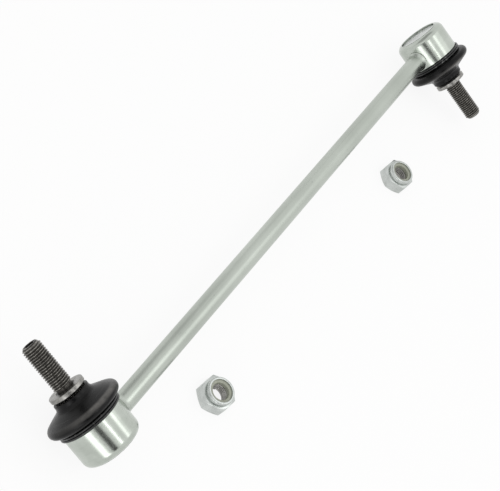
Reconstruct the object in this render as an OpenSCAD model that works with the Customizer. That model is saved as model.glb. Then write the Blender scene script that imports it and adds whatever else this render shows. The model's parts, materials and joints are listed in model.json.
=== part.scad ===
// Stabilizer link: a bar with a ball joint at each end, and two loose lock nuts.
// The link lies still on a table at z = 0. The bar runs along +X from the near
// joint to the far joint, and the origin is on the table under the bar's middle.

/* [Bar] */
// Distance between the two ball centres
link_len = 355; // [250:1:420]
// Diameter of the bar
rod_d = 10.4; // [9:0.1:12]
// How far the weld stands out from the bar
weld_rise = 1.2; // [0.6:0.1:1.6]
// Length of the weld along the bar
weld_reach = 3; // [2:0.1:6]

/* [Socket] */
// Diameter of the ball
ball_d = 16; // [15:0.1:17]
// Outer diameter of the socket housing
housing_d = 31.5; // [31:0.1:36]
// Wall of the housing around the ball seat
housing_wall = 3.5; // [3:0.1:4]
// Radius of the housing's rounded base corner
base_corner_r = 4; // [3:0.1:4.2]
// Thickness of the ball seat under the ball
seat_floor = 0.75; // [0.6:0.05:2]
// Wall of the housing around the closing plate
plate_wall = 2.75; // [2.6:0.05:3.2]
// Thickness of the closing plate
plate_t = 1.5; // [1:0.1:2.5]
// Depth of the closing plate below the rolled rim
rim_depth = 0.9; // [0.5:0.1:1.5]
// How far the rolled rim covers the edge of the closing plate
rim_hold = 0.7; // [0.4:0.1:1]
// Height of the housing's shoulder above the weld
shoulder_gap = 0.2; // [0.1:0.1:2]
// Width of the groove for the boot's lower lip
groove_w = 2.6; // [2.5:0.1:3.5]
// Depth of that groove below the shoulder
groove_depth = 2.1; // [1.6:0.1:2.2]
// Thickness of the flange above the groove
flange_t = 1; // [0.8:0.1:1.6]
// How far the flange stands out from the groove
flange_rise = 1; // [0.6:0.1:1.2]

/* [Stud] */
// Diameter of the slim neck above the ball
stud_neck_d = 9; // [8:0.1:9.4]
// Diameter of the stud inside the boot's neck
stud_seat_d = 12.6; // [11:0.1:13]
// Length of the taper from the slim neck to that seat
stud_taper = 4; // [3:0.1:4.6]
// Diameter of the collar
collar_d = 18.7; // [17:0.1:22]
// Thickness of the collar
collar_t = 3.2; // [2.5:0.1:5]
// Bevel on the collar's lower edge
collar_bevel = 1.2; // [0.4:0.1:1.5]
// Bevel on the collar's upper edge
collar_edge = 0.3; // [0.1:0.1:0.6]
// How far the recess at the stud's foot is wider than the thread
recess_w = 0.3; // [0.2:0.1:0.6]
// Depth of that recess in the collar
recess_depth = 0.5; // [0.2:0.1:0.8]
// Outer diameter of the thread
thread_d = 10; // [9.5:0.1:10.5]
// Pitch of the thread
thread_pitch = 1.25; // [1:0.05:1.5]
// Length of the stud above its collar
thread_len = 25.8; // [18:0.1:40]
// Width of the plain groove between the collar and the thread
undercut_w = 1.4; // [1:0.1:2.5]
// Diameter of the stud's tip face
tip_d = 7.2; // [6.8:0.1:8]
// Length of the bevel at the stud's tip
tip_len = 1.6; // [1:0.1:3]
// Width across flats of the key socket in the tip
key_af = 5; // [4:0.5:5]
// Depth of the key socket
key_depth = 5; // [3:0.5:8]
// Swing of the stud to each side, about each of two axes, in degrees
swing = 18; // [10:1:18]

/* [Boot] */
// Height of the boot above the housing's shoulder
boot_h = 15.3; // [15:0.1:18]
// Diameter of the boot's bulge
bulge_d = 39.6; // [38:0.1:44]
// Height of the bulge above the housing's shoulder
bulge_rise = 5.8; // [5.6:0.1:6.6]
// Radius of the bulge's rounded rim
bulge_rim_r = 2.4; // [2:0.1:2.6]
// Diameter of the boot's neck
boot_neck_d = 19; // [18:0.1:20]
// Rounding between the boot's neck and its slope
boot_neck_fillet = 1.2; // [0.6:0.1:1.6]
// Bevel on the boot's upper edge
boot_top_edge = 0.5; // [0.2:0.1:0.8]
// Wall of the boot
boot_wall = 1.7; // [1.2:0.1:1.8]
// Angle on the bulge's rim at which the boot's straight slope begins, in degrees
boot_slope = 65; // [60:1:68]
// Wire of the clip around the boot's lower lip
clip_wire_d = 1.2; // [0.8:0.05:1.2]
// Wall of the slide ring in the boot's neck
neck_ring_wall = 1.25; // [0.8:0.05:1.3]
// Length of that slide ring
neck_ring_len = 3.2; // [2:0.1:3.4]

/* [Lock nuts] */
// Width across flats
nut_af = 17; // [16:0.5:19]
// Height of a nut's hexagon, up to its round collar
nut_hex_h = 7; // [6.6:0.1:8]
// Diameter of the round collar
nut_collar_d = 15; // [14.4:0.1:15.8]
// Diameter of the nut's hole at the crests of its thread
nut_hole_d = 8.64; // [8.4:0.02:8.8]
// Wall of the round collar beside the nylon insert
nut_collar_wall = 0.85; // [0.6:0.05:1]
// Thickness of the lip that is rolled over the insert
nut_lip_t = 0.8; // [0.5:0.1:1.2]
// How far that lip covers the insert
nut_lip_hold = 0.6; // [0.4:0.1:1]
// Height of the thread below the insert
nut_thread_h = 6.6; // [6:0.1:7.4]
// Thickness of the nylon insert
insert_t = 2.5; // [1.8:0.1:3]
// Diameter of the hole through the nylon insert
insert_hole_d = 9; // [8.9:0.1:9.6]
// Distance of the near nut from the bar's middle, towards the near joint
nut_near_x = 109; // [40:1:120]
// Distance of the far nut from the bar's middle, towards the far joint
nut_far_x = 96; // [40:1:120]
// Distance of the near nut from the bar's line
nut_near_y = 34; // [26:1:38]
// Distance of the far nut from the bar's line
nut_far_y = 37; // [26:1:38]
// Turn of the nuts about their own axis, in degrees
nut_turn = 23; // [0:1:60]

/* [Fits] */
// Gap between the ball and its seat
ball_clear = 0.05; // [0.02:0.01:0.1]
// Gap around a piece that is seated in another
seat_clear = 0.05; // [0.02:0.01:0.1]
// Gap between the boot and what holds it
boot_clear = 0.15; // [0.1:0.01:0.2]
// Gap between the boot and the collar above it
collar_clear = 0.3; // [0.2:0.05:0.5]
// Gap between the swung stud and the mouth of the housing
mouth_clear = 0.4; // [0.3:0.05:0.6]

/* [Hidden] */
$fn = 96;

// How far a cut runs past a face
cut = 1;
// Steps in a drawn arc
arc_steps = 12;

// Radii
rod_r = rod_d / 2;
ball_r = ball_d / 2;
housing_r = housing_d / 2;
bore_r = housing_r - housing_wall;
plate_r = housing_r - plate_wall;
groove_r = housing_r - groove_depth;
flange_r = groove_r + flange_rise;
stud_neck_r = stud_neck_d / 2;
stud_seat_r = stud_seat_d / 2;
collar_r = collar_d / 2;
thread_r = thread_d / 2;
bulge_r = bulge_d / 2;
boot_neck_r = boot_neck_d / 2;
boot_lip_r = housing_r - boot_clear;
neck_ring_in_r = stud_seat_r + seat_clear;
neck_ring_out_r = neck_ring_in_r + neck_ring_wall;
boot_bore_r = neck_ring_out_r + boot_clear;

// Heights along the stud's axis, counted from the ball's centre
plate_in_z = -(ball_r + ball_clear + seat_floor);
plate_out_z = plate_in_z - plate_t;
base_z = plate_out_z - rim_depth;
shoulder_z = rod_r + weld_rise + shoulder_gap;
groove_top_z = shoulder_z + groove_w;
mouth_z = groove_top_z + flange_t;
bulge_z = shoulder_z + bulge_rise;
boot_top_z = shoulder_z + boot_h;
collar_z = boot_top_z + collar_clear;
collar_top_z = collar_z + collar_t;
tip_z = collar_top_z + thread_len;

// Both swings together reach this cone, which the seat and the mouth leave free
cone = acos(cos(swing) * cos(swing));
seat_lip_spare = 1.5;
seat_lip_angle = asin(stud_neck_r / ball_r) + cone + seat_lip_spare;
seat_top_z = ball_r * cos(seat_lip_angle);
stud_taper_z = (mouth_z + stud_neck_r * sin(cone)) / cos(cone);
function mouth_r(z) = z * tan(cone) + stud_neck_r / cos(cone) + mouth_clear;

// A standard metric thread, drawn as rings: its depth is a share of the pitch
thread_flank_angle = 30;
thread_depth_share = 0.613;
thread_crest_share = 1 / 8;
thread_depth = thread_depth_share * thread_pitch;
thread_root_r = thread_r - thread_depth;
thread_flank = thread_depth * tan(thread_flank_angle);
thread_crest = thread_crest_share * thread_pitch;
thread_z = collar_top_z + undercut_w;
thread_turns = floor((thread_len - undercut_w - tip_len - thread_flank) / thread_pitch);

// Angle on the bulge's rim at which the boot tucks in to its lower lip
boot_tuck = -75;

// Centres of the two roundings on which the link lies
rim_centre_r = bulge_r - bulge_rim_r;
corner_centre_r = housing_r - base_corner_r;
corner_centre_z = base_z + base_corner_r;

// The lying pose: the near end rests on its bulge and its base corner, the far end on its bulge
lie_r = rim_centre_r - corner_centre_r;
lie_z = bulge_z - corner_centre_z;
lie_roll = atan2(lie_r, lie_z) - asin((base_corner_r - bulge_rim_r) / norm([lie_r, lie_z]));
lie_near_h = rim_centre_r * cos(lie_roll) - bulge_z * sin(lie_roll) + bulge_rim_r;
lie_far_h = rim_centre_r * cos(lie_roll) + bulge_z * sin(lie_roll) + bulge_rim_r;
lie_pitch = asin((lie_far_h - lie_near_h) / link_len);

// Nuts
nut_pocket_r = nut_collar_d / 2 - nut_collar_wall;
nut_pocket_h = insert_t + 2 * seat_clear;
nut_h = nut_thread_h + nut_pocket_h + nut_lip_t;
nut_corner_r = nut_af / 2 / cos(30);
nut_bevel = 30;
// How far the lead-in of a nut's hole is wider than the thread
nut_lead_spare = 0.2;
nut_lead = thread_r + nut_lead_spare - nut_hole_d / 2;

zinc = [0.79, 0.81, 0.79];
steel = [0.62, 0.63, 0.62];
black_steel = [0.28, 0.27, 0.26];
rubber = [0.13, 0.13, 0.13];
acetal = [0.9, 0.89, 0.84];
nylon = [0.6, 0.62, 0.56];

function arc(centre, r, from, to) = [
    for (i = [0 : arc_steps])
        let (a = from + (to - from) * i / arc_steps)
            centre + r * [cos(a), sin(a)]
];

// Places a piece of the link in the lying pose
module lie() {
    translate([0, 0, (lie_near_h + lie_far_h) / 2])
        rotate([0, -lie_pitch, 0])
            rotate([lie_roll, 0, 0])
                children();
}

// At each end the stud's axis is z, the ball's centre is the origin and the bar leaves along +x
module near_end() {
    lie() translate([-link_len / 2, 0, 0]) rotate([-90, 0, 0]) children();
}

module far_end() {
    lie() rotate(180) translate([-link_len / 2, 0, 0]) rotate([-90, 0, 0]) children();
}

module near_nut() {
    translate([-nut_near_x, -nut_near_y, 0]) rotate(nut_turn) children();
}

module far_nut() {
    translate([nut_far_x, -nut_far_y, 0]) rotate(nut_turn) children();
}

module between(z_low, z_high, r) {
    translate([0, 0, z_low]) cylinder(r = r, h = z_high - z_low);
}

module tube(z_low, z_high, r_in, r_out) {
    difference() {
        between(z_low, z_high, r_out);
        between(z_low - cut, z_high + cut, r_in);
    }
}

// The space that a housing takes up across the bar
module housing_space() {
    between(-rod_d, rod_d, housing_r);
}

module rod() {
    color(zinc) lie() difference() {
        rotate([0, 90, 0]) cylinder(r = rod_r, h = link_len, center = true);
        for (side = [-1, 1])
            translate([side * link_len / 2, 0, 0]) rotate([90, 0, 0]) housing_space();
    }
}

// A ring around the bar's end with a hollow flank, cut to the housing's wall
module weld() {
    rise = [rod_r + weld_rise, housing_r + weld_reach];
    flank = [
        for (i = [0 : arc_steps])
            let (a = 90 * i / arc_steps)
                rise - [weld_rise * sin(a), weld_reach * cos(a)]
    ];
    color(zinc) difference() {
        rotate([0, 90, 0]) rotate_extrude()
            polygon(concat([[rod_r, bore_r], [rod_r + weld_rise, bore_r]], flank));
        housing_space();
    }
}

module housing_outline() {
    translate([0, corner_centre_z]) square([housing_r, shoulder_z - corner_centre_z]);
    translate([0, base_z]) square([corner_centre_r, base_corner_r]);
    translate([corner_centre_r, corner_centre_z]) circle(r = base_corner_r);
    translate([0, shoulder_z - cut]) square([groove_r, groove_w + 2 * cut]);
    translate([0, groove_top_z]) square([flange_r, flange_t]);
}

module housing() {
    color(zinc) difference() {
        rotate_extrude() housing_outline();
        between(base_z - cut, plate_in_z, plate_r - rim_hold);
        between(plate_out_z, plate_in_z, plate_r + seat_clear);
        between(plate_in_z - cut, seat_top_z + seat_clear, bore_r);
        mouth();
    }
}

// The flared mouth that lets the stud swing
module mouth() {
    low_z = seat_top_z;
    high_z = mouth_z + cut;
    translate([0, 0, low_z]) cylinder(r1 = mouth_r(low_z), r2 = mouth_r(high_z), h = high_z - low_z);
}

module closing_plate() {
    color(zinc) between(plate_out_z, plate_in_z, plate_r);
}

module ball_seat() {
    color(acetal) difference() {
        between(plate_in_z, seat_top_z, bore_r - seat_clear);
        sphere(r = ball_r + ball_clear);
    }
}

function thread_ring(z) = [
    [thread_root_r, z],
    [thread_r, z + thread_flank],
    [thread_r, z + thread_flank + thread_crest],
    [thread_root_r, z + 2 * thread_flank + thread_crest]
];

function stud_outline() = concat(
    [
        [0, 0],
        [stud_neck_r, 0],
        [stud_neck_r, stud_taper_z],
        [stud_seat_r, stud_taper_z + stud_taper],
        [stud_seat_r, collar_z],
        [collar_r - collar_bevel, collar_z],
        [collar_r, collar_z + collar_bevel],
        [collar_r, collar_top_z - collar_edge],
        [collar_r - collar_edge, collar_top_z],
        [thread_r + recess_w, collar_top_z],
        [thread_root_r, collar_top_z - recess_depth]
    ],
    [for (i = [0 : thread_turns - 1]) each thread_ring(thread_z + i * thread_pitch)],
    [
        [thread_root_r, thread_z + thread_turns * thread_pitch],
        [thread_r, thread_z + thread_turns * thread_pitch + thread_flank],
        [thread_r, tip_z - tip_len],
        [tip_d / 2, tip_z],
        [0, tip_z]
    ]
);

module ball_stud() {
    color(black_steel) difference() {
        union() {
            sphere(r = ball_r);
            rotate_extrude() polygon(stud_outline());
        }
        translate([0, 0, tip_z - key_depth])
            cylinder(r = key_af / 2 / cos(30), h = key_depth + cut, $fn = 6);
    }
}

// A closed outline: up the outside from the lower lip to the neck, then down the inside
function boot_outline() =
    let (
        rim = [rim_centre_r, bulge_z],
        slope = [cos(boot_slope), sin(boot_slope)],
        rim_out = rim + bulge_rim_r * slope,
        rim_in = rim + (bulge_rim_r - boot_wall) * slope,
        fillet_r = boot_neck_r + boot_neck_fillet,
        fillet_z = rim_out.y + (boot_neck_fillet - (fillet_r - rim_out.x) * slope.x) / slope.y,
        neck_in_z = rim_in.y + (rim_in.x - boot_bore_r) * slope.x / slope.y,
        hold_r = flange_r + boot_clear,
        lip_top_z = groove_top_z - boot_clear,
        lip_z = shoulder_z + boot_clear
    )
    concat(
        [[boot_lip_r, lip_z], [boot_lip_r, groove_top_z]],
        arc(rim, bulge_rim_r, boot_tuck, boot_slope),
        arc([fillet_r, fillet_z], boot_neck_fillet, 180 + boot_slope, 180),
        [[boot_neck_r, boot_top_z - boot_top_edge], [boot_neck_r - boot_top_edge, boot_top_z]],
        [[boot_bore_r, boot_top_z], [boot_bore_r, neck_in_z]],
        arc(rim, bulge_rim_r - boot_wall, boot_slope, boot_tuck),
        [[hold_r, mouth_z + boot_clear], [hold_r, lip_top_z]],
        [[groove_r + boot_clear, lip_top_z], [groove_r + boot_clear, lip_z]]
    );

module boot() {
    color(rubber) rotate_extrude() polygon(boot_outline());
}

// Two turns of wire, side by side
module boot_clip() {
    turn_r = boot_lip_r + boot_clear + clip_wire_d / 2;
    turn_step = clip_wire_d + seat_clear;
    color(rubber) for (side = [-1, 1])
        translate([0, 0, shoulder_z + groove_w / 2 + side * turn_step / 2])
            rotate_extrude() translate([turn_r, 0]) circle(d = clip_wire_d, $fn = 32);
}

module boot_neck_ring() {
    ring_top_z = boot_top_z - boot_clear;
    color(acetal) tube(ring_top_z - neck_ring_len, ring_top_z, neck_ring_in_r, neck_ring_out_r);
}

// A hexagon whose corners are bevelled above and below
module nut_hexagon() {
    bevel_r = nut_af / 2;
    bevel_h = (nut_corner_r - bevel_r) * tan(nut_bevel);
    intersection() {
        rotate(30) cylinder(r = nut_corner_r, h = nut_hex_h, $fn = 6);
        rotate_extrude() polygon([
            [0, 0],
            [bevel_r, 0],
            [nut_corner_r, bevel_h],
            [nut_corner_r, nut_hex_h - bevel_h],
            [bevel_r, nut_hex_h],
            [0, nut_hex_h]
        ]);
    }
}

module nut_collar() {
    round_r = nut_lip_t;
    rotate_extrude() {
        square([nut_collar_d / 2, nut_h - round_r]);
        square([nut_collar_d / 2 - round_r, nut_h]);
        translate([nut_collar_d / 2 - round_r, nut_h - round_r]) circle(r = round_r);
    }
}

module lock_nut() {
    hole_r = nut_hole_d / 2;
    lead_h = nut_lead + cut;
    color(zinc) difference() {
        union() {
            nut_hexagon();
            nut_collar();
        }
        between(-cut, nut_h, hole_r);
        translate([0, 0, -cut]) cylinder(r1 = hole_r + lead_h, r2 = hole_r, h = lead_h);
        between(nut_thread_h, nut_thread_h + nut_pocket_h, nut_pocket_r);
        between(nut_thread_h, nut_h + cut, nut_pocket_r - nut_lip_hold);
    }
}

module nut_insert() {
    low_z = nut_thread_h + seat_clear;
    color(nylon) tube(low_z, low_z + insert_t, insert_hole_d / 2, nut_pocket_r - seat_clear);
}

rod();
near_end() weld();  // weld_near
far_end() weld();  // weld_far
near_end() housing();  // housing_near
far_end() housing();  // housing_far
near_end() closing_plate();  // closing_plate_near
far_end() closing_plate();  // closing_plate_far
near_end() ball_seat();  // ball_seat_near
far_end() ball_seat();  // ball_seat_far
near_end() ball_stud();  // ball_stud_near
far_end() ball_stud();  // ball_stud_far
near_end() boot();  // boot_near
far_end() boot();  // boot_far
near_end() boot_clip();  // boot_clip_near
far_end() boot_clip();  // boot_clip_far
near_end() boot_neck_ring();  // boot_neck_ring_near
far_end() boot_neck_ring();  // boot_neck_ring_far
near_nut() lock_nut();  // lock_nut_near
far_nut() lock_nut();  // lock_nut_far
near_nut() nut_insert();  // nut_insert_near
far_nut() nut_insert();  // nut_insert_far
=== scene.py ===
import json
from collections import namedtuple
from functools import partial
from math import asin, ceil, cos, degrees, hypot, pi, radians, sin, sqrt, tan, tau

import bmesh
import bpy
from bpy.props import FloatProperty, FloatVectorProperty, IntProperty, PointerProperty
from mathutils import Matrix, Quaternion, Vector


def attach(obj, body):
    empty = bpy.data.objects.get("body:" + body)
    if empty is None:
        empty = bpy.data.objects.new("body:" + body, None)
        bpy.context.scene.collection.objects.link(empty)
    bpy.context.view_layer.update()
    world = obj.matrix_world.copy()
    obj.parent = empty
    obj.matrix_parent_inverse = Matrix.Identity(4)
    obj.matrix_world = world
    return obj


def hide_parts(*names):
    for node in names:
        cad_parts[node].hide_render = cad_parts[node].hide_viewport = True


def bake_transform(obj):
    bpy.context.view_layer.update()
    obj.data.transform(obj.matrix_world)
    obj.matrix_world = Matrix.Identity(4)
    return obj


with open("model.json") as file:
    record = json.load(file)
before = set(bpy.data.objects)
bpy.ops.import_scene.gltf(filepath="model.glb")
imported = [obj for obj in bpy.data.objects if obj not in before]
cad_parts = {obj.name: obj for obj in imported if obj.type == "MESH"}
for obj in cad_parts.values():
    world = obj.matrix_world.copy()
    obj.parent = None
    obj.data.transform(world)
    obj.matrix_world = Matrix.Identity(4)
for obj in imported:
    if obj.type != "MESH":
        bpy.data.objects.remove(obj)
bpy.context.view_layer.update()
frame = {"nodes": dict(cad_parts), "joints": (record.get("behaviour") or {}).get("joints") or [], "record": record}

bl_info = {
    "name": "Stabilizer Link",
    "version": (1, 0, 0),
    "blender": (4, 5, 0),
    "location": "3D View > Sidebar > Link",
    "description": "Dresses a stabilizer link with plated steel, rubber boots, threads and lock nuts",
    "category": "Object",
}

MM = 0.001
# Vertices closer than this are one vertex
MERGE = 0.002 * MM
# Half the angle between the flanks of a metric thread, and the thread's depth in pitches
FLANK = radians(30)
DEPTH = 0.613
# Steps in a full turn of a thread, and of a nut or a clip
THREAD_STEPS = 64
SMALL_STEPS = 96
# Width of the floor in metres, and of the camera's sensor in millimetres
FLOOR_WIDTH = 12
SENSOR = 36
ENDS = ("near", "far")
JOINTS = {joint["name"]: joint for joint in frame["joints"]}
MOUNTS = {mount["name"]: mount for mount in frame["record"]["mounts"]}

# Places and sizes that come from the frame

Span = namedtuple("Span", "low high radius")


def axes(x, z, where):
    """A place with its x and z axes along two directions."""
    place = Matrix((x, z.cross(x), z)).transposed().to_4x4()
    place.translation = where
    return place


def end_place(end):
    """The frame of a ball joint: the ball's centre, z along the stud and x towards the bar."""
    z = Vector(JOINTS[f"{end}_spin"]["axis"]).normalized()
    x = Vector(JOINTS[f"{end}_tilt"]["axis"]).normalized()
    return axes(x, z, JOINTS[f"{end}_tilt"]["pos_m"])


def nut_place(end, turn=0.0):
    """The frame of a lock nut: the middle of its base on the table, z up."""
    x, y, _ = MOUNTS[f"nut_thread_{end}"]["pos_m"]
    return Matrix.Translation((x, y, 0)) @ Matrix.Rotation(turn, 4, "Z")


def span(node, place):
    """How low, how high and how far out a node reaches along and around the z axis of a place."""
    to_place = place.inverted()
    points = [to_place @ vertex.co for vertex in frame["nodes"][node].data.vertices]
    heights = [point.z for point in points]
    return Span(min(heights), max(heights), max(hypot(point.x, point.y) for point in points))


NEAR = end_place("near")
# The bar's own frame has z along the bar
BAR = NEAR @ Matrix.Rotation(pi / 2, 4, "Y")
HOUSING = span("housing_near", NEAR)
PLATE = span("closing_plate_near", NEAR)
STUD = span("ball_stud_near", NEAR)
BOOT = span("boot_near", NEAR)
ROD = span("rod", BAR)
WELD_RING = span("weld_near", BAR)
NUT = span("lock_nut_near", nut_place("near"))
INSERT = span("nut_insert_near", nut_place("near"))
THREAD_R = MOUNTS["stud_thread_near"]["dims"]["r_mm"] * MM
NUT_HOLE_R = MOUNTS["nut_thread_near"]["dims"]["r_mm"] * MM
LINK_LENGTH = (end_place("far").translation - NEAR.translation).length


def linear(code):
    """An sRGB hex colour as linear red, green and blue."""
    levels = [int(code[i:i + 2], 16) / 255 for i in (1, 3, 5)]
    return [c / 12.92 if c <= 0.04045 else ((c + 0.055) / 1.055) ** 2.4 for c in levels]


def length(name, description, millimetres):
    """A size that a user may change, written in millimetres."""
    return FloatProperty(
        name=name, description=description, default=millimetres * MM, unit="LENGTH", precision=5)


def angle(name, description, turn):
    """An angle that a user may change, written in degrees."""
    return FloatProperty(name=name, description=description, default=radians(turn), subtype="ANGLE")


def colour(name, description, code):
    """A colour that a user may change, written as sRGB hex."""
    return FloatVectorProperty(name=name, description=description, default=linear(code), subtype="COLOR")


# Sizes and colours that a user would change


class LinkBarSizes(bpy.types.PropertyGroup):
    """Sizes of the bar and its welds."""
    radius: length("Bar radius", "Radius of the bar", ROD.radius / MM)
    weld_radius: length("Weld radius", "Radius of the weld's toe", WELD_RING.radius / MM)
    weld_reach: length("Weld reach", "Length of the weld along the bar", 3.0)
    # The weld's toe is a strip this wide, painted dark as shade where it meets the housing
    seam: length("Seam", "Width of the dark seam along the weld's toe", 0.5)


class LinkSocketSizes(bpy.types.PropertyGroup):
    """Sizes of the socket housings and their closing plates."""
    radius: length("Housing radius", "Outer radius of the housing", HOUSING.radius / MM)
    base_corner: length("Base corner", "Rounding of the housing's base", 4.0)
    rim_roll: length("Rim roll", "Rounding of the rolled rim's inner edge", 0.3)
    rim_hold: length("Rim hold", "How far the rolled rim covers the closing plate", 0.7)
    shoulder: length("Shoulder", "Height of the shoulder above the ball's centre", 6.6)
    shoulder_edge: length("Shoulder edge", "Rounding of the shoulder's edge", 0.3)
    groove_radius: length("Groove radius", "Radius of the groove that holds the boot", 13.65)
    flange_radius: length("Flange radius", "Radius of the flange above the groove", 14.65)
    flange: length("Flange", "Thickness of the flange", 1.0)
    mouth_radius: length("Mouth radius", "Radius of the mouth at the flange", 10.1)
    throat_radius: length("Throat radius", "Radius of the mouth at the ball seat", 7.2)
    throat: length("Throat", "Height of the ball seat's top above the ball's centre", 3.95)
    bore_radius: length("Bore radius", "Radius of the bore around the ball seat", 12.25)


class LinkStudSizes(bpy.types.PropertyGroup):
    """Sizes of the ball studs."""
    ball_radius: length("Ball radius", "Radius of the ball", -STUD.low / MM)
    neck_radius: length("Neck radius", "Radius of the slim neck above the ball", 4.5)
    neck_top: length("Neck top", "Height at which the slim neck ends", 13.4)
    seat_radius: length("Seat radius", "Radius of the stud in the boot's neck", 6.3)
    seat_low: length("Seat start", "Height at which that seat begins", 17.4)
    collar_radius: length("Collar radius", "Radius of the collar", STUD.radius / MM)
    collar_low: length("Collar underside", "Height of the collar's underside", 22.2)
    collar_high: length("Collar face", "Height of the collar's outer face", 25.4)
    collar_bevel: length("Collar bevel", "Bevel on the collar's lower edge", 1.2)
    collar_edge: length("Collar edge", "Rounding of the collar's upper edge", 0.3)
    recess: length("Recess", "How far the recess at the stud's foot is wider than the thread", 0.3)
    recess_depth: length("Recess depth", "Depth of the recess at the stud's foot", 0.5)
    thread_low: length("Thread start", "Height at which the thread begins", 26.8)
    pitch: length("Thread pitch", "Distance from one turn of the thread to the next", 1.25)
    tip_radius: length("Tip radius", "Radius of the tip's face", 3.6)
    tip_bevel: length("Tip bevel", "Length of the bevel at the tip", 1.6)
    key_width: length("Key width", "Width across flats of the key socket", 5.0)
    key_depth: length("Key depth", "Depth of the key socket", 5.0)
    key_edge: length("Key edge", "Bevel around the key socket", 0.25)


class LinkBootSizes(bpy.types.PropertyGroup):
    """Sizes of the rubber boots and their wire clips."""
    lip_radius: length("Lip radius", "Outer radius of the lower lip", 15.6)
    lip_low: length("Lip underside", "Height of the lower lip's underside", 6.75)
    lip_high: length("Lip top", "Height at which the lower lip meets the bulge", 9.2)
    lip_hold: length("Lip hold", "Inner radius of the lower lip", 13.8)
    hook_radius: length("Hook radius", "Inner radius of the boot around the flange", 14.8)
    hook_low: length("Hook underside", "Height of the lower lip inside the boot", 9.05)
    hook_high: length("Hook top", "Height of the boot's inside above the flange", 10.35)
    bulge_radius: length("Bulge radius", "Radius of the bulge", BOOT.radius / MM)
    bulge_height: length("Bulge height", "Height of the bulge above the ball's centre", 12.4)
    bulge_rim: length("Bulge rim", "Radius of the bulge's rounded rim", 2.4)
    slope: angle("Slope", "Angle on the bulge's rim at which the slope begins", 65)
    tuck: angle("Tuck", "Angle on the bulge's rim at which it tucks in to the lip", -75)
    seam_radius: length("Seam radius", "Radius on the slope where the two halves meet", 15.0)
    seam_hollow: length("Seam hollow", "Radius of the hollow at the seam", 13.6)
    bulge_hold: length("Bulge hold", "Height up to which the bulge stays with the housing", 15.2)
    bulge_hollow: length("Bulge hollow", "Radius of the hollow at that height, clear of the stud", 15.8)
    neck_hold: length("Neck hold", "Height from which the boot's neck moves with the stud", 18.4)
    neck_radius: length("Neck radius", "Outer radius of the boot's neck", 9.5)
    neck_fillet: length("Neck fillet", "Rounding between the neck and the slope", 2.8)
    bore_radius: length("Bore radius", "Inner radius of the boot's neck", 7.75)
    top_edge: length("Top edge", "Rounding of the boot's upper edge", 0.5)
    wall: length("Wall", "Wall of the boot's rim and neck", 1.1)
    wire: length("Clip wire", "Diameter of the clip's wire", 1.2)
    wire_gap: length("Wire gap", "Gap between the wire and the boot's lip, and between its turns", 0.05)
    wire_turns: FloatProperty(
        name="Clip turns", description="Turns of wire in the clip", default=1.95, min=1.2, max=2.0)


class LinkNutSizes(bpy.types.PropertyGroup):
    """Sizes of the lock nuts."""
    across_flats: length("Across flats", "Width of the hexagon across flats", 17.0)
    hexagon: length("Hexagon height", "Height of the hexagon up to the round collar", 7.0)
    bevel: angle("Bevel", "Slope of the bevel on the hexagon's corners", 30)
    corner_edge: length("Corner edge", "Rounding of the hexagon's upright edges", 0.25)
    collar_radius: length("Collar radius", "Radius of the round collar", 7.5)
    collar_wall: length("Collar wall", "Wall of the round collar beside the insert", 0.85)
    lip: length("Lip", "Thickness of the lip rolled over the insert", 0.8)
    lip_hold: length("Lip hold", "How far the lip covers the insert", 0.6)
    thread_high: length("Thread top", "Height of the thread's top", 6.6)
    lead: length("Lead-in", "How far the lead-in is wider than the thread", 0.2)
    insert_radius: length("Insert hole", "Radius of the hole through the insert", 4.5)
    insert_edge: length("Insert edge", "Rounding of the insert's upper edge", 0.6)
    turn: angle("Turn", "Turn of the nuts about their own axis", 23)


class LinkFinishes(bpy.types.PropertyGroup):
    """Colours of the finishes."""
    zinc: colour("Zinc", "Bright zinc plate", "#BEC4BC")
    zinc_dull: colour("Dull zinc", "Zinc plate where it is duller", "#B2B8B0")
    pale_zinc: colour("Pale zinc", "Paler zinc plate of the nuts and closing plates", "#C8CCC9")
    pale_zinc_dull: colour("Dull pale zinc", "Paler zinc plate where it is duller", "#B6BAB7")
    zinc_stain: colour("Zinc stain", "Stains and scuffs in the plate", "#7C827C")
    # Painted shade along the weld's toe, where it meets the housing
    seam: colour("Weld seam", "Dark seam along the weld", "#3C403A")
    steel: colour("Cut steel", "Bare cut steel of the collars and the nuts' threads", "#A3A29E")
    steel_dark: colour("Dark cut steel", "Cut steel where it is darker", "#7C7B78")
    phosphate: colour("Phosphate", "Dark phosphated steel of the thread", "#403E3B")
    phosphate_worn: colour("Worn phosphate", "Crests of the thread, rubbed lighter", "#B4B1AA")
    rubber: colour("Rubber", "Black rubber of the boots", "#0A0A0B")
    rubber_bloom: colour("Rubber bloom", "Grey bloom on the rubber", "#181818")
    # A painted highlight on the upper side of the bulge's rim
    rubber_rim_highlight: colour("Rubbed rubber", "Rubber where the bulge's rim is rubbed", "#777572")
    wire: colour("Clip wire", "Blackened spring wire", "#1A1B1B")
    # Painted glints on the clip's wire
    wire_glint: colour("Worn clip wire", "Spring wire where the black is thin", "#747573")
    nylon: colour("Nylon", "Nylon of the nuts' inserts", "#A8AB9C")
    nylon_shade: colour("Shaded nylon", "Nylon where its flow is darker", "#9A9D8E")
    acetal: colour("Acetal", "Acetal of the ball seats and slide rings", "#DFDCD0")
    acetal_shade: colour("Shaded acetal", "Acetal where its flow is darker", "#CBC8BB")


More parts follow.
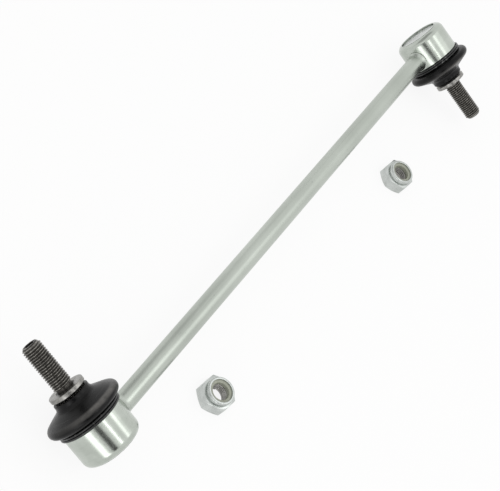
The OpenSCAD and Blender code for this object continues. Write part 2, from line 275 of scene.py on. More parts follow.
class LinkStageSettings(bpy.types.PropertyGroup):
    """The floor, the light and the camera."""
    heading: angle("Camera heading", "Heading of the camera's view, from +X", -6.586)
    elevation: angle("Camera elevation", "Height of the camera above the horizon", 48.775)
    roll: angle("Camera roll", "Turn of the camera about its own view", 49.65)
    distance: length("Camera distance", "Distance of the camera from its target", 726.9)
    target: FloatVectorProperty(
        name="Camera target", description="Point in the middle of the picture",
        default=(-37.0 * MM, 3.5 * MM, 19.4 * MM), subtype="XYZ", unit="LENGTH", precision=5)
    lens: FloatProperty(
        name="Lens", description=f"Focal length on a {SENSOR} mm sensor", default=100.8, unit="CAMERA")
    floor: colour("Floor", "Pale floor", "#FAFAF9")
    floor_glow: FloatProperty(
        name="Floor glow", description="Share of plain white in the floor as it is seen",
        default=0.88, subtype="FACTOR", min=0, max=1)
    sky: FloatProperty(name="Sky", description="Strength of the sky as a light", default=0.8, min=0)
    steps: IntProperty(
        name="Steps", description="Steps in a full turn of a round piece", default=128, min=24)


SETTINGS = {
    "link_bar": LinkBarSizes,
    "link_socket": LinkSocketSizes,
    "link_stud": LinkStudSizes,
    "link_boot": LinkBootSizes,
    "link_nut": LinkNutSizes,
    "link_finishes": LinkFinishes,
    "link_stage": LinkStageSettings,
}


# Shapes


def arc(centre, radius, start, end, steps=8):
    """Points (radius, height) on an arc of an outline, between two angles in degrees."""
    angles = [radians(start + (end - start) * i / steps) for i in range(steps + 1)]
    return [(centre[0] + radius * cos(a), centre[1] + radius * sin(a)) for a in angles]


def between(start, end, steps=12):
    """Points inside a straight stretch of an outline, so that it can bend."""
    return [tuple(Vector(start).lerp(end, i / steps)) for i in range(1, steps)]


def spun(bm, outline, steps, turns=1, pitch=0.0, closed=True):
    """Spins (radius, height) points about z, or winds them up a helix, and gives the vertices."""
    before = len(bm.verts)
    verts = [bm.verts.new((radius, 0, height)) for radius, height in outline]
    after = verts[1:] + verts[:1] if closed else verts[1:]
    edges = [bm.edges.new(pair) for pair in zip(verts, after)]
    count = round(steps * turns)
    made = bmesh.ops.spin(
        bm, geom=verts + edges, cent=(0, 0, 0), axis=(0, 0, 1), dvec=(0, 0, pitch / steps),
        angle=tau * count / steps, steps=count, use_merge=pitch == 0, use_duplicate=False)
    if pitch and closed:
        last = [item for item in made["geom_last"] if isinstance(item, bmesh.types.BMEdge)]
        bmesh.ops.contextual_create(bm, geom=edges)
        bmesh.ops.contextual_create(bm, geom=last)
    bm.verts.ensure_lookup_table()
    return bm.verts[before:]


def edges_at(bm, height):
    """The open edges of a mesh at one height."""
    return [
        edge for edge in bm.edges
        if edge.is_boundary and all(abs(vert.co.z - height) < MERGE for vert in edge.verts)
    ]


def second_finish(bm, radius, low, high):
    """Gives the faces inside a radius and between two heights the second of their piece's finishes."""
    for face in bm.faces:
        x, y, z = face.calc_center_median()
        face.material_index = int(hypot(x, y) < radius and low < z < high)


def made_object(name, bm, place, materials):
    """Makes an object of a mesh, moved to its place, with its materials."""
    bmesh.ops.transform(bm, matrix=place, verts=bm.verts)
    mesh = bpy.data.meshes.new(name)
    bm.to_mesh(mesh)
    bm.free()
    for material in materials:
        mesh.materials.append(material)
    item = bpy.data.objects.new(name, mesh)
    bpy.context.scene.collection.objects.link(item)
    return item


def add_piece(name, bm, place, materials, nodes, body=None, sharp=35):
    """Makes a finished piece of a mesh, in its place, standing for CAD nodes and riding on a body."""
    bmesh.ops.remove_doubles(bm, verts=bm.verts, dist=MERGE)
    bmesh.ops.recalc_face_normals(bm, faces=bm.faces)
    piece = made_object(name, bm, place, materials)
    piece.data.shade_smooth()
    piece.data.set_sharp_from_angle(angle=radians(sharp))
    if body:
        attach(piece, body)
    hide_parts(*nodes)
    return piece


# Materials


def add_node(tree, kind, inputs, output=0, **settings):
    """Adds a shader node with its settings, sets or links its inputs, and gives one of its outputs."""
    node = tree.nodes.new(f"ShaderNode{kind}")
    for name, value in settings.items():
        setattr(node, name, value)
    for name, value in inputs.items():
        socket = node.inputs[name]
        if isinstance(value, bpy.types.NodeSocket):
            tree.links.new(value, socket)
        elif socket.type == "RGBA":
            socket.default_value = (*value, 1.0)
        else:
            socket.default_value = value
    return node.outputs[output] if node.outputs else node


def adder(owner):
    """Empties the node tree of a material or a world, and gives add_node for that tree."""
    owner.use_nodes = True
    owner.node_tree.nodes.clear()
    return partial(add_node, owner.node_tree)


def new_material(name):
    """A material, add_node for its tree, the object coordinates of its patterns, and the colours."""
    material = bpy.data.materials.new(name)
    add = adder(material)
    return material, add, add("TexCoord", {}, "Object"), bpy.context.scene.link_finishes


def patches(add, point, size, low, high, detail=3.0, least=0.0, most=1.0):
    """Soft patches some millimetres in size, from the least between them to the most inside them."""
    noise = add("TexNoise", {"Vector": point, "Scale": 1 / (size * MM), "Detail": detail})
    levels = {"From Min": low, "From Max": high, "To Min": least, "To Max": most}
    return add("MapRange", {"Value": noise, **levels})


def worked(add, point, place, grain, spread, rough, depth):
    """Marks of a metal's working, and the roughness and the bump that they give."""
    # The grain is how many millimetres wide the marks are along each axis of the place
    scale = [side * MM for side in grain]
    along = add(
        "Mapping", {"Vector": point, "Rotation": place.to_euler(), "Scale": scale}, vector_type="TEXTURE")
    noise = add("TexNoise", {"Vector": along, "Scale": 1.0, "Detail": 3.0})
    marks = add("MapRange", {"Value": noise, "From Min": 0.5 - spread, "From Max": 0.5 + spread})
    sheen = add("MapRange", {"Value": marks, "To Min": rough[0], "To Max": rough[1]})
    bump = add("Bump", {"Strength": 1.0, "Distance": depth * MM, "Height": marks})
    return marks, sheen, bump


def plated_steel(name, place, grain, rough, cloud=7.0, kind="zinc", seam_shaded=False):
    """Zinc plate over worked steel: a cool grey mirror, a little cloudy, with fine marks of its working."""
    material, add, point, colours = new_material(name)
    marks, sheen, bump = worked(add, point, place, grain, spread=0.25, rough=rough, depth=0.002)
    lines = add("MapRange", {"Value": marks, "From Min": 0.55, "From Max": 1.0, "To Max": 0.12})
    clouds = patches(add, point, cloud, 0.35, 0.7)
    # Small stains and scuffs, a millimetre or so across and far apart
    stains = patches(add, point, 1.6, 0.68, 0.76, detail=4.0, most=0.5)
    stain = colours.zinc_stain
    shades = [(clouds, getattr(colours, f"{kind}_dull")), (lines, stain), (stains, stain)]
    # Painted shade along a weld's toe, where it meets the housing
    if seam_shaded:
        shades.append((add("Attribute", {}, "Fac", attribute_name="seam"), colours.seam))
    plate = getattr(colours, kind)
    for share, shade in shades:
        plate = add("Mix", {0: share, 6: plate, 7: shade}, 2, data_type="RGBA")
    shader = add(
        "BsdfPrincipled", {"Base Color": plate, "Roughness": sheen, "Metallic": 1.0, "Normal": bump})
    add("OutputMaterial", {"Surface": shader})
    return material


def turned_steel(name, place):
    """Bare cut steel: dull grey, with fine rings around the place's axis and a soft cloudiness."""
    material, add, point, colours = new_material(name)
    clouds = patches(add, point, 1.5, 0.3, 0.7, detail=4.0)
    steel = add("Mix", {0: clouds, 6: colours.steel, 7: colours.steel_dark}, 2, data_type="RGBA")
    # The turning marks are drawn several times as wide as real ones, to show in the picture
    _, sheen, bump = worked(add, point, place, (4, 4, 0.3), spread=0.3, rough=(0.24, 0.4), depth=0.004)
    shader = add(
        "BsdfPrincipled", {"Base Color": steel, "Roughness": sheen, "Metallic": 1.0, "Normal": bump})
    add("OutputMaterial", {"Surface": shader})
    return material


def phosphated_steel():
    """Phosphated steel thread: dark brown-grey and oily, rubbed to pale metal along the crests."""
    material, add, point, colours = new_material("phosphated_steel_thread")
    # The crests are rubbed in patches about as long as a turn of the thread is high
    patch = patches(add, point, 0.9, 0.25, 0.75)
    crest = add("Attribute", {}, "Fac", attribute_name="crest")
    rubbed = add("Math", {0: crest, 1: patch}, operation="MULTIPLY")
    steel = add("Mix", {0: rubbed, 6: colours.phosphate, 7: colours.phosphate_worn}, 2, data_type="RGBA")
    sheen = add("MapRange", {"Value": patch, "To Min": 0.32, "To Max": 0.5})
    bump = add("Bump", {"Strength": 1.0, "Distance": 0.006 * MM, "Height": patch})
    shader = add(
        "BsdfPrincipled", {"Base Color": steel, "Roughness": sheen, "Metallic": 0.85, "Normal": bump})
    add("OutputMaterial", {"Surface": shader})
    return material


def moulded_rubber():
    """Moulded black rubber: matt, with a faint grey bloom, a painted highlight on the bulge's rim and the mould's
    fine texture.
    """
    material, add, point, colours = new_material("moulded_rubber")
    bloom = patches(add, point, 5, 0.42, 0.72, detail=4.0)
    # A painted highlight on the bulge's rim, in patches some millimetres long
    patch = patches(add, point, 4, 0.3, 0.7, detail=4.0, least=0.45, most=0.95)
    rim = add("Attribute", {}, "Fac", attribute_name="rim")
    rubbed = add("Math", {0: rim, 1: patch}, operation="MULTIPLY")
    rubber = colours.rubber
    # The grey bloom, then the painted highlight on the rim
    for share, shade in ((bloom, colours.rubber_bloom), (rubbed, colours.rubber_rim_highlight)):
        rubber = add("Mix", {0: share, 6: rubber, 7: shade}, 2, data_type="RGBA")
    sheen = add("MapRange", {"Value": bloom, "To Min": 0.26, "To Max": 0.4})
    texture = add("TexNoise", {"Vector": point, "Scale": 1 / (0.5 * MM), "Detail": 3.0})
    bump = add("Bump", {"Strength": 1.0, "Distance": 0.01 * MM, "Height": texture})
    shader = add(
        "BsdfPrincipled",
        {"Base Color": rubber, "Roughness": sheen, "IOR": 1.52, "Specular IOR Level": 0.17, "Normal": bump})
    add("OutputMaterial", {"Surface": shader})
    return material


def blackened_wire():
    """Blackened spring wire: near black, with a thin oily gloss and a few painted glints."""
    material, add, point, colours = new_material("blackened_spring_wire")
    # Painted glints in a few spots, about twice as long as the wire is thick
    patch = patches(add, point, 2.5, 0.58, 0.74)
    black = add("Mix", {0: patch, 6: colours.wire, 7: colours.wire_glint}, 2, data_type="RGBA")
    sheen = add("MapRange", {"Value": patch, "To Min": 0.28, "To Max": 0.45})
    shader = add("BsdfPrincipled", {"Base Color": black, "Roughness": sheen})
    add("OutputMaterial", {"Surface": shader})
    return material


def moulded_plastic(kind, rough, ior):
    """Moulded engineering plastic: a waxy gloss, with soft clouds from its flow in the mould."""
    material, add, point, colours = new_material(f"moulded_{kind}")
    cloud = patches(add, point, 3, 0.3, 0.7)
    shades = {0: cloud, 6: getattr(colours, kind), 7: getattr(colours, f"{kind}_shade")}
    plastic = add("Mix", shades, 2, data_type="RGBA")
    sheen = add("MapRange", {"Value": cloud, "To Min": rough[0], "To Max": rough[1]})
    shader = add("BsdfPrincipled", {"Base Color": plastic, "Roughness": sheen, "IOR": ior})
    add("OutputMaterial", {"Surface": shader})
    return material


# Operators, one for each kind of piece


class LINK_OT_bar(bpy.types.Operator):
    """Makes the bar, with ends that fit the housings, and the weld at each end"""
    bl_idname = "link.bar"
    bl_label = "Bar and welds"

    def execute(self, context):
        sizes = context.scene.link_bar
        wall = context.scene.link_socket.radius
        steps = context.scene.link_stage.steps
        # Drawn bar: its marks are long lines along it
        drawn = plated_steel("zinc_plated_bar", BAR, (0.8, 0.8, 60.0), (0.26, 0.38), 40)
        half = LINK_LENGTH / 2
        bm = bmesh.new()
        outline = [(0, -half), (sizes.radius, -half), (sizes.radius, half), (0, half)]
        # The bar's ends lie on the housings' round walls
        for vert in spun(bm, outline, steps, closed=False):
            side = -1 if vert.co.z < 0 else 1
            vert.co.z = side * (half - sqrt(wall ** 2 - vert.co.y ** 2))
        middle = BAR @ Matrix.Translation((0, 0, half))
        add_piece("bar_shaft", bm, middle, [drawn], ["rod"], "link")
        # Plated weld: as the bar, with painted shade along its toe where it meets the housing
        steel = plated_steel("zinc_plated_weld", BAR, (2.0, 2.0, 2.0), (0.26, 0.41), seam_shaded=True)
        rise = sizes.weld_radius - sizes.radius
        flank = [
            (sizes.radius + rise * (1 - y), sizes.seam + sizes.weld_reach * (1 - x))
            for x, y in arc((0, 0), 1, 0, 90, 10)
        ]
        outline = [*flank, (sizes.radius, 0), (sizes.weld_radius - sizes.seam, 0)]
        for end in ENDS:
            bm = bmesh.new()
            # The seam attribute marks the painted shade at the weld's toe
            seam = bm.verts.layers.float.new("seam")
            for vert in spun(bm, outline, steps):
                vert[seam] = 1.0 if vert.co.z < sizes.seam / 2 else 0.0
                # The weld's toe lies on the housing's round wall
                vert.co.z += sqrt(wall ** 2 - vert.co.y ** 2)
            place = end_place(end) @ Matrix.Rotation(pi / 2, 4, "Y")
            add_piece(f"weld_fillet_{end}", bm, place, [steel], [f"weld_{end}"], "link", 50)
        return {"FINISHED"}


class LINK_OT_sockets(bpy.types.Operator):
    """Makes the socket housings with their rolled rims, and the closing plates"""
    bl_idname = "link.sockets"
    bl_label = "Socket housings"

    def execute(self, context):
        sizes = context.scene.link_socket
        steps = context.scene.link_stage.steps
        # Turned housing: its marks are fine rings around the stud's axis
        shell = plated_steel("zinc_plated_housing", NEAR, (30.0, 30.0, 0.35), (0.17, 0.25))
        pressed = plated_steel("zinc_plated_plate", NEAR, (3.0, 3.0, 3.0), (0.24, 0.36), 7, "pale_zinc")
        for end in ENDS:
            bm = bmesh.new()
            spun(bm, self.shell_outline(sizes), steps)
            nodes = [f"housing_{end}"]
            add_piece(f"socket_{end}", bm, end_place(end), [shell], nodes, "link", 40)
            bm = bmesh.new()
            spun(bm, self.plate_outline(sizes), steps, closed=False)
            nodes = [f"closing_plate_{end}"]
            add_piece(f"socket_cap_{end}", bm, end_place(end), [pressed], nodes, "link")
        return {"FINISHED"}

    def shell_outline(self, sizes):
        """Around the rolled rim, the base corner, the wall, the groove, the flange and the bore."""
        rim = PLATE.radius - sizes.rim_hold
        roll = sizes.rim_roll
        corner = sizes.base_corner
        edge = sizes.shoulder_edge
        groove_top = HOUSING.high - sizes.flange
        return [
            (rim, PLATE.low),
            *arc((rim + roll, HOUSING.low + roll), roll, 180, 270, 5),
            *arc((sizes.radius - corner, HOUSING.low + corner), corner, 270, 360, 14),
            *arc((sizes.radius - edge, sizes.shoulder - edge), edge, 0, 90, 4),
            (sizes.groove_radius, sizes.shoulder),
            (sizes.groove_radius, groove_top),
            (sizes.flange_radius, groove_top),
            (sizes.flange_radius, HOUSING.high),
            (sizes.mouth_radius, HOUSING.high),
            (sizes.throat_radius, sizes.throat),
            (sizes.bore_radius, sizes.throat),
            (sizes.bore_radius, PLATE.high),
            (PLATE.radius, PLATE.high),
            (PLATE.radius, PLATE.low),
        ]

    def plate_outline(self, sizes):
        """A round plate whose seen face has a pressed edge just inside the rim."""
        edge = sizes.rim_roll
        rim = PLATE.radius - sizes.rim_hold
        return [
            (0, PLATE.high),
            (PLATE.radius - edge, PLATE.high),
            (PLATE.radius - edge, PLATE.low + edge),
            (rim - edge, PLATE.low + edge),
            *arc((rim - 2 * edge, PLATE.low + edge), edge, 0, -90, 4),
            (0, PLATE.low),
        ]


class LINK_OT_studs(bpy.types.Operator):
    """Makes the ball studs, with their collars, threads and key sockets"""
    bl_idname = "link.studs"
    bl_label = "Ball studs"

    def execute(self, context):
        sizes = context.scene.link_stud
        steps = context.scene.link_stage.steps
        materials = [turned_steel("turned_steel_collar", NEAR), phosphated_steel()]
        depth = DEPTH * sizes.pitch
        foot = sizes.collar_high - sizes.recess_depth
        for end in ENDS:
            bm = bmesh.new()
            self.thread(bm, sizes, depth)
            spun(bm, self.shank_outline(sizes, THREAD_R - depth), steps, closed=False)
            # The thread's dark finish reaches down its foot into the collar's recess, as painted shade there
            second_finish(bm, THREAD_R, foot, STUD.high + MERGE)
            nodes = [f"ball_stud_{end}"]
            body = f"{end}_stud"
            add_piece(f"threaded_stud_{end}", bm, end_place(end), materials, nodes, body)
        return {"FINISHED"}

    def shank_outline(self, sizes, root):
        """The ball, the neck and the collar, up into the foot of the thread."""
        join = degrees(asin(sqrt(1 - (sizes.neck_radius / sizes.ball_radius) ** 2)))
        edge = sizes.collar_edge
        # The shank ends inside the thread, a little slimmer than its root, so that the two don't merge
        top = sizes.thread_low + sizes.pitch / 2
        slim = root - 0.04 * MM
        return [
            *arc((0, 0), sizes.ball_radius, -90, join, 24),
            (sizes.neck_radius, sizes.neck_top),
            (sizes.seat_radius, sizes.seat_low),
            (sizes.seat_radius, sizes.collar_low),
            (sizes.collar_radius - sizes.collar_bevel, sizes.collar_low),
            (sizes.collar_radius, sizes.collar_low + sizes.collar_bevel),
            *arc((sizes.collar_radius - edge, sizes.collar_high - edge), edge, 0, 90, 4),
            (THREAD_R + sizes.recess, sizes.collar_high),
            (root, sizes.collar_high - sizes.recess_depth),
            (root, sizes.thread_low),
            (slim, top),
            (0, top),
        ]

    def thread(self, bm, sizes, depth):
        """A wound thread, run out at its foot, bevelled at its tip, with the key socket in the tip."""
        low = sizes.thread_low
        high = STUD.high
        root = THREAD_R - depth
        flank = depth * tan(FLANK)
        crest = sizes.pitch / 8
        # One turn of the thread: the root, a flank up, the crest and a flank down
        turn = [
            (root, 0),
            (root, sizes.pitch - 2 * flank - crest),
            (THREAD_R, sizes.pitch - flank - crest),
            (THREAD_R, sizes.pitch - flank),
            (root, sizes.pitch),
        ]
        # It is wound past both ends and then cut level there
        start = low - 1.5 * sizes.pitch
        turns = ceil((high - low) / sizes.pitch) + 3
        spun(bm, [(r, start + z) for r, z in turn], THREAD_STEPS, turns, sizes.pitch, closed=False)
        bmesh.ops.remove_doubles(bm, verts=bm.verts, dist=MERGE)
        for height, outwards in ((low, (0, 0, -1)), (high, (0, 0, 1))):
            bmesh.ops.bisect_plane(
                bm, geom=[*bm.verts, *bm.edges, *bm.faces], dist=MERGE,
                plane_co=(0, 0, height), plane_no=outwards, clear_outer=True)
        # How fast the thread grows from its foot, and from its tip
        run_out = 1.5
        bevel = (THREAD_R - sizes.tip_radius) / sizes.tip_bevel
        worn = bm.verts.layers.float.new("crest")
        for vert in bm.verts:
            out = hypot(vert.co.x, vert.co.y)
            limit = min(root + (vert.co.z - low) * run_out, sizes.tip_radius + (high - vert.co.z) * bevel)
            vert[worn] = min(max((out - root) / depth, 0.0), 1.0)
            if out > limit:
                vert.co.xy *= limit / out
        bmesh.ops.contextual_create(bm, geom=edges_at(bm, low))
        self.key_socket(bm, sizes, high)

    def key_socket(self, bm, sizes, high):
        """Joins the tip's edge to a bevelled hexagonal socket."""
        corner = sizes.key_width / 2 / cos(radians(30))
        rim = edges_at(bm, high)
        mouth = corner + sizes.key_edge
        made = bmesh.ops.create_circle(
            bm, cap_ends=False, segments=6, radius=mouth, matrix=Matrix.Translation((0, 0, high)))
        ring = list({edge for vert in made["verts"] for edge in vert.link_edges})
        bmesh.ops.bridge_loops(bm, edges=rim + ring)
        for share, drop in ((corner / mouth, sizes.key_edge), (1.0, sizes.key_depth - sizes.key_edge)):
            made = bmesh.ops.extrude_edge_only(bm, edges=ring)["geom"]
            verts = [item for item in made if isinstance(item, bmesh.types.BMVert)]
            ring = [
                item for item in made
                if isinstance(item, bmesh.types.BMEdge) and all(vert in verts for vert in item.verts)
            ]
            for vert in verts:
                vert.co.xy *= share
                vert.co.z -= drop
        bmesh.ops.contextual_create(bm, geom=ring)


class LINK_OT_boots(bpy.types.Operator):
    """Makes the rubber boots, each in two halves, and their wire clips"""
    bl_idname = "link.boots"
    bl_label = "Boots and clips"

    def execute(self, context):
        sizes = context.scene.link_boot
        steps = context.scene.link_stage.steps
        rubber = moulded_rubber()
        wire = blackened_wire()
        lower, upper, seam = self.outlines(sizes)
        for end in ENDS:
            place = end_place(end)
            boot = f"{end}_boot"
            halves = (
                # name, outline, two bodies, from height, to height
                ("lower", lower, "link", boot, sizes.bulge_hold, seam),
                ("upper", upper, boot, f"{end}_neck_ring", seam, sizes.neck_hold),
            )
            for half, outline, body, other, low, high in halves:
                bm = bmesh.new()
                spun(bm, outline, steps)
                # The painted highlight along the bulge's rim
                self.paint_rim_highlight(bm, sizes)
                name = f"boot_{half}_{end}"
                piece = add_piece(name, bm, place, [rubber], [f"boot_{end}"], sharp=60)
                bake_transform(piece)
            bm = bmesh.new()
            self.clip(bm, sizes)
            # The wire's two ends lie underneath
            under = place @ Matrix.Rotation(pi / 2, 4, "Z")
            nodes = [f"boot_clip_{end}"]
            add_piece(f"wire_clip_{end}", bm, under, [wire], nodes, "link", 60)
        return {"FINISHED"}

    def paint_rim_highlight(self, bm, sizes):
        """Marks the painted highlight on the bulge's rim: most on its upper side, where it turns into the slope.
        """
        # Degrees up the rim where the painted highlight is strongest, and how far from there it fades out
        most, spread = 50, 45
        # Share of the painted highlight that goes all the way around the boot
        around = 0.15
        rim = bm.verts.layers.float.new("rim")
        middle = Vector((sizes.bulge_radius - sizes.bulge_rim, sizes.bulge_height))
        for vert in bm.verts:
            out = hypot(vert.co.x, vert.co.y)
            reach = Vector((out, vert.co.z)) - middle
            off = abs(degrees(Vector((1, 0)).angle(reach)) - most) / spread
            outside = reach.length > sizes.bulge_rim - MERGE and reach.y > 0
            near = max(0.0, 1 - (reach.length - sizes.bulge_rim) / sizes.bulge_rim)
            up = max(0.0, -vert.co.y / out)
            share = near * max(0.0, 1 - off * off) * (around + (1 - around) * up ** 3)
            vert[rim] = share if outside else 0.0

    def outlines(self, sizes):
        """The outlines of the lower and the upper half, and the height of the level seam between them."""
        rim = (sizes.bulge_radius - sizes.bulge_rim, sizes.bulge_height)
        across = (cos(sizes.slope), sin(sizes.slope))
        rim_out = [rim[i] + sizes.bulge_rim * across[i] for i in (0, 1)]
        fall = across[0] / across[1]
        seam = rim_out[1] + (rim_out[0] - sizes.seam_radius) * fall
        seam_out = (sizes.seam_radius, seam)
        seam_in = (sizes.seam_hollow, seam)
        hollow = (sizes.bulge_hollow, sizes.bulge_hold)
        fillet = sizes.neck_fillet
        fillet_r = sizes.neck_radius + fillet
        fillet_z = rim_out[1] + (fillet - (fillet_r - rim_out[0]) * across[0]) / across[1]
        slope = degrees(sizes.slope)
        tuck = degrees(sizes.tuck)
        edge = sizes.top_edge
        outside = arc(rim, sizes.bulge_rim, tuck, slope, 18)
        inside = arc(rim, sizes.bulge_rim - sizes.wall, slope, tuck, 12)
        neck_out = arc((fillet_r, fillet_z), fillet, 180 + slope, 180, 12)
        neck_in = arc((fillet_r, fillet_z), fillet + sizes.wall, 180, 180 + slope, 12)
        lower = [
            (sizes.lip_radius, sizes.lip_low),
            (sizes.lip_radius, sizes.lip_high),
            *outside,
            *between(outside[-1], seam_out),
            seam_out,
            seam_in,
            *between(seam_in, hollow),
            hollow,
            *inside,
            (sizes.hook_radius, sizes.hook_high),
            (sizes.hook_radius, sizes.hook_low),
            (sizes.lip_hold, sizes.hook_low),
            (sizes.lip_hold, sizes.lip_low),
        ]
        upper = [
            seam_out,
            *between(seam_out, neck_out[0]),
            *neck_out,
            *arc((sizes.neck_radius - edge, BOOT.high - edge), edge, 0, 90, 5),
            (sizes.bore_radius, BOOT.high),
            *neck_in,
            *between(neck_in[-1], seam_in),
            seam_in,
        ]
        return lower, upper, seam

    def clip(self, bm, sizes):
        """Two turns of wire side by side, with a short step from one to the other."""
        sides = 16
        # Where the step begins and how long it is, in turns
        step_start, step_length = 0.92, 0.1
        pitch = sizes.wire + sizes.wire_gap
        centre = sizes.lip_radius + sizes.wire_gap + sizes.wire / 2
        low = (sizes.lip_low + sizes.lip_high - pitch) / 2
        wire = arc((centre, low), sizes.wire / 2, 0, 360 - 360 / sides, sides - 1)
        for i, vert in enumerate(spun(bm, wire, SMALL_STEPS, sizes.wire_turns, pitch)):
            turn = (i // sides) / SMALL_STEPS
            step = min(max((turn - step_start) / step_length, 0.0), 1.0)
            vert.co.z += pitch * (step * step * (3 - 2 * step) - turn)


class LINK_OT_nuts(bpy.types.Operator):
    """Makes the lock nuts with their threads, and the nylon inserts"""
    bl_idname = "link.nuts"
    bl_label = "Lock nuts"

    def execute(self, context):
        sizes = context.scene.link_nut
        plated = plated_steel("zinc_plated_nut", NEAR, (2.5, 2.5, 2.5), (0.2, 0.32), 4, "pale_zinc")
        tapped = turned_steel("tapped_steel_thread", Matrix())
        nylon = moulded_plastic("nylon", (0.38, 0.48), 1.53)
        for end in ENDS:
            place = nut_place(end, sizes.turn)
            body = f"{end}_nut"
            bm = bmesh.new()
            self.hexagon(bm, sizes)
            self.thread(bm, sizes, context.scene.link_stud.pitch)
            # The tapped hole
            second_finish(bm, THREAD_R + sizes.lead, 0, sizes.thread_high - MERGE)
            nodes = [f"lock_nut_{end}"]
            add_piece(f"nut_body_{end}", bm, place, [plated, tapped], nodes, body)
            bm = bmesh.new()
            spun(bm, self.insert_outline(sizes), SMALL_STEPS)
            nodes = [f"nut_insert_{end}"]
            add_piece(f"nut_nylon_{end}", bm, place, [nylon], nodes, body)
        return {"FINISHED"}

    def insert_outline(self, sizes):
        """A ring whose hole is rounded at its upper edge."""
        edge = sizes.insert_edge
        return [
            (sizes.insert_radius, INSERT.low),
            (INSERT.radius, INSERT.low),
            (INSERT.radius, INSERT.high),
            *arc((sizes.insert_radius + edge, INSERT.high - edge), edge, 90, 180, 6),
        ]

    def hexagon(self, bm, sizes):
        """A round outline, two of whose rings are moved out to a hexagon with bevelled corners."""
        flat = sizes.across_flats / 2
        lip = sizes.lip
        pocket = sizes.collar_radius - sizes.collar_wall
        hold = pocket - sizes.lip_hold
        # The two rings start wider than the rest, which marks them
        wide = sizes.across_flats
        outline = [
            (THREAD_R + sizes.lead, 0),
            (flat, 0),
            (wide, 0),
            (wide, sizes.hexagon),
            (flat, sizes.hexagon),
            (sizes.collar_radius, sizes.hexagon),
            *arc((sizes.collar_radius - lip, NUT.high - lip), lip, 0, 90, 6),
            *arc((hold + lip / 3, NUT.high - lip / 3), lip / 3, 90, 180, 3),
            (hold, NUT.high - lip),
            (pocket, NUT.high - lip),
            (pocket, sizes.thread_high),
            (THREAD_R, sizes.thread_high),
            (THREAD_R, sizes.lead),
        ]
        corners = []
        for vert in spun(bm, outline, SMALL_STEPS):
            if hypot(vert.co.x, vert.co.y) < wide - MERGE:
                continue
            turn = degrees(Vector((1, 0)).angle_signed(vert.co.xy))
            # Degrees from the middle of the nearest flat, 30 at a corner
            off = (turn + 30) % 60 - 30
            reach = flat / cos(radians(off))
            drop = (reach - flat) * tan(sizes.bevel)
            vert.co.xy *= reach / wide
            vert.co.z += drop if vert.co.z < sizes.hexagon / 2 else -drop
            if abs(off) > 29.5:
                corners.append(vert)
        upright = [edge for edge in bm.edges if all(vert in corners for vert in edge.verts)]
        bmesh.ops.bevel(
            bm, geom=upright, offset=sizes.corner_edge, offset_type="OFFSET", affect="EDGES",
            segments=3, profile=0.5, material=-1)

    def thread(self, bm, sizes, pitch):
        """A wound rib inside the hole, its back sunk in the wall."""
        sunk = 0.1 * MM
        back = THREAD_R + sunk
        flank = (back - NUT_HOLE_R) * tan(FLANK)
        crest = pitch / 4
        low = sizes.lead
        turns = (sizes.thread_high - low - 2 * flank - crest) / pitch
        spun(bm, [
            (back, low),
            (back, low + 2 * flank + crest),
            (NUT_HOLE_R, low + flank + crest),
            (NUT_HOLE_R, low + flank),
        ], THREAD_STEPS, turns, pitch)


class LINK_OT_bearings(bpy.types.Operator):
    """Gives the ball seats and the slide rings inside the boots their acetal finish"""
    bl_idname = "link.bearings"
    bl_label = "Ball seats and slide rings"

    def execute(self, context):
        acetal = moulded_plastic("acetal", (0.32, 0.42), 1.48)
        for end in ENDS:
            for name in (f"ball_seat_{end}", f"boot_neck_ring_{end}"):
                for slot in frame["nodes"][name].material_slots:
                    slot.material = acetal
        return {"FINISHED"}


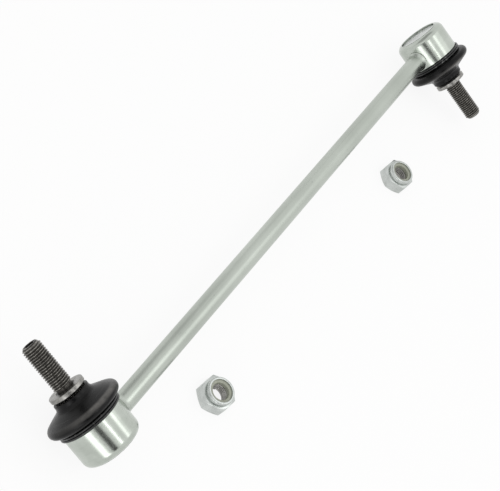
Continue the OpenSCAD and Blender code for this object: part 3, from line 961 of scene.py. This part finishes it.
class LINK_OT_stage(bpy.types.Operator):
    """Sets the floor, the soft light and the camera"""
    bl_idname = "link.stage"
    bl_label = "Floor, light and camera"

    def execute(self, context):
        scene = context.scene
        settings = scene.link_stage
        scene.view_settings.view_transform = "Standard"
        self.floor(settings)
        self.sky(scene, settings)
        self.lamps(scene)
        self.camera(scene, settings)
        return {"FINISHED"}

    def sheet(self, name, place, material):
        """A flat piece of the stage: a square metre, scaled and moved to its place."""
        bm = bmesh.new()
        bmesh.ops.create_grid(bm, x_segments=1, y_segments=1, size=0.5)
        sheet = made_object(name, bm, place, [material])
        return sheet

    def seen(self, add):
        """1 for what the camera sees, plainly, in a reflection or through glass, and 0 for light."""
        share = add("LightPath", {}, "Is Camera Ray")
        for ray in ("Is Glossy Ray", "Is Transmission Ray"):
            other = add("LightPath", {}, ray)
            share = add("Math", {0: share, 1: other}, operation="MAXIMUM")
        return share

    def floor(self, settings):
        """A wide pale floor that looks near white and keeps the link's shadow."""
        material, add, *_ = new_material("pale_paper")
        paper = add(
            "BsdfPrincipled", {"Base Color": settings.floor, "Roughness": 0.9, "Specular IOR Level": 0.0})
        white = add("Emission", {"Color": (1, 1, 1), "Strength": 1.0})
        share = add("Math", {0: self.seen(add), 1: settings.floor_glow}, operation="MULTIPLY")
        both = add("MixShader", {0: share, 1: paper, 2: white})
        add("OutputMaterial", {"Surface": both})
        self.sheet("floor", Matrix.Scale(FLOOR_WIDTH, 4), material)

    def sky(self, scene, settings):
        """A white sky: plain white where it is seen, and weaker as a light."""
        scene.world = bpy.data.worlds.new("studio")
        add = adder(scene.world)
        strength = add("MapRange", {"Value": self.seen(add), "To Min": settings.sky, "To Max": 1.0})
        white = add("Background", {"Color": (1, 1, 1), "Strength": strength})
        add("OutputWorld", {"Surface": white})

    def lamps(self, scene):
        """Soft boxes around the link, each as bright as its level where white is 1, and dark cards."""
        boxes = (
            # name, place, width, height, level
            ("overhead_strip", (-0.25, -0.33, 0.77), 0.09, 0.45, 2.5),
            ("right_box", (0.22, -0.29, 0.69), 0.16, 0.45, 1.2),
            ("left_box", (-0.90, -0.25, 0.23), 0.28, 0.7, 1.6),
            ("top_box", (0.60, -0.38, 0.95), 0.45, 0.6, 0.35),
        )
        for name, where, width, height, level in boxes:
            light = bpy.data.lights.new(name, "AREA")
            light.shape = "RECTANGLE"
            light.size = width
            light.size_y = height
            light.energy = level * pi * width * height
            lamp = bpy.data.objects.new(name, light)
            lamp.matrix_world = self.facing(Vector(where))
            lamp.visible_camera = False
            scene.collection.objects.link(lamp)
        cards = (
            # name, place, width, height, level
            ("dark_card", (-0.61, -0.25, 0.58), 0.25, 0.8, 0.06),
            ("grey_card", (0.0, 1.10, 0.65), 1.6, 0.9, 0.5),
        )
        for name, where, width, height, level in cards:
            material, add, *_ = new_material(name)
            grey = add("Emission", {"Color": (level, level, level), "Strength": 1.0})
            add("OutputMaterial", {"Surface": grey})
            place = self.facing(Vector(where)) @ Matrix.Diagonal((width, height, 1, 1))
            card = self.sheet(name, place, material)
            # A card only darkens what polished metal reflects
            card.visible_camera = False
            card.visible_diffuse = False
            card.visible_shadow = False

    def facing(self, where):
        """The place of a lamp or card that looks at the link, its width across the studs."""
        z = where.normalized()
        # One that stands nearly in line with the studs has its width along the bar
        beside = abs(z.y) < 0.8
        x = Vector((0, 1, 0)).cross(z).normalized() if beside else Vector((1, 0, 0))
        return axes(x, z, where)

    def camera(self, scene, settings):
        """A camera above the near end, turned about its view so that the bar runs across the picture."""
        ahead = Vector((
            cos(settings.elevation) * cos(settings.heading),
            cos(settings.elevation) * sin(settings.heading),
            -sin(settings.elevation)))
        data = bpy.data.cameras.new("camera")
        data.sensor_fit = "HORIZONTAL"
        data.sensor_width = SENSOR
        data.lens = settings.lens
        data.clip_start = 0.01
        camera = bpy.data.objects.new("camera", data)
        camera.location = Vector(settings.target) - ahead * settings.distance
        camera.rotation_mode = "QUATERNION"
        camera.rotation_quaternion = ahead.to_track_quat("-Z", "Y") @ Quaternion((0, 0, 1), settings.roll)
        scene.collection.objects.link(camera)
        scene.camera = camera


OPERATORS = (
    LINK_OT_bar, LINK_OT_sockets, LINK_OT_studs, LINK_OT_boots, LINK_OT_nuts, LINK_OT_bearings,
    LINK_OT_stage,
)


class LINK_PT_pieces(bpy.types.Panel):
    """Lists the sizes, the finishes and the pieces of the link"""
    bl_idname = "LINK_PT_pieces"
    bl_label = "Stabilizer link"
    bl_space_type = "VIEW_3D"
    bl_region_type = "UI"
    bl_category = "Link"

    def draw(self, context):
        for operator in OPERATORS:
            self.layout.operator(operator.bl_idname)
        for name, group in SETTINGS.items():
            box = self.layout.box()
            box.label(text=group.__doc__)
            for setting in group.__annotations__:
                box.prop(getattr(context.scene, name), setting)


CLASSES = (*SETTINGS.values(), *OPERATORS, LINK_PT_pieces)


def register():
    for kind in CLASSES:
        bpy.utils.register_class(kind)
    for name, group in SETTINGS.items():
        setattr(bpy.types.Scene, name, PointerProperty(type=group))


def unregister():
    for name in SETTINGS:
        delattr(bpy.types.Scene, name)
    for kind in reversed(CLASSES):
        bpy.utils.unregister_class(kind)


def main():
    """Registers the classes and makes each piece in order."""
    register()
    bpy.ops.link.bar()
    bpy.ops.link.sockets()
    bpy.ops.link.studs()
    bpy.ops.link.boots()
    bpy.ops.link.nuts()
    bpy.ops.link.bearings()
    bpy.ops.link.stage()


if __name__ == "__main__":
    main()
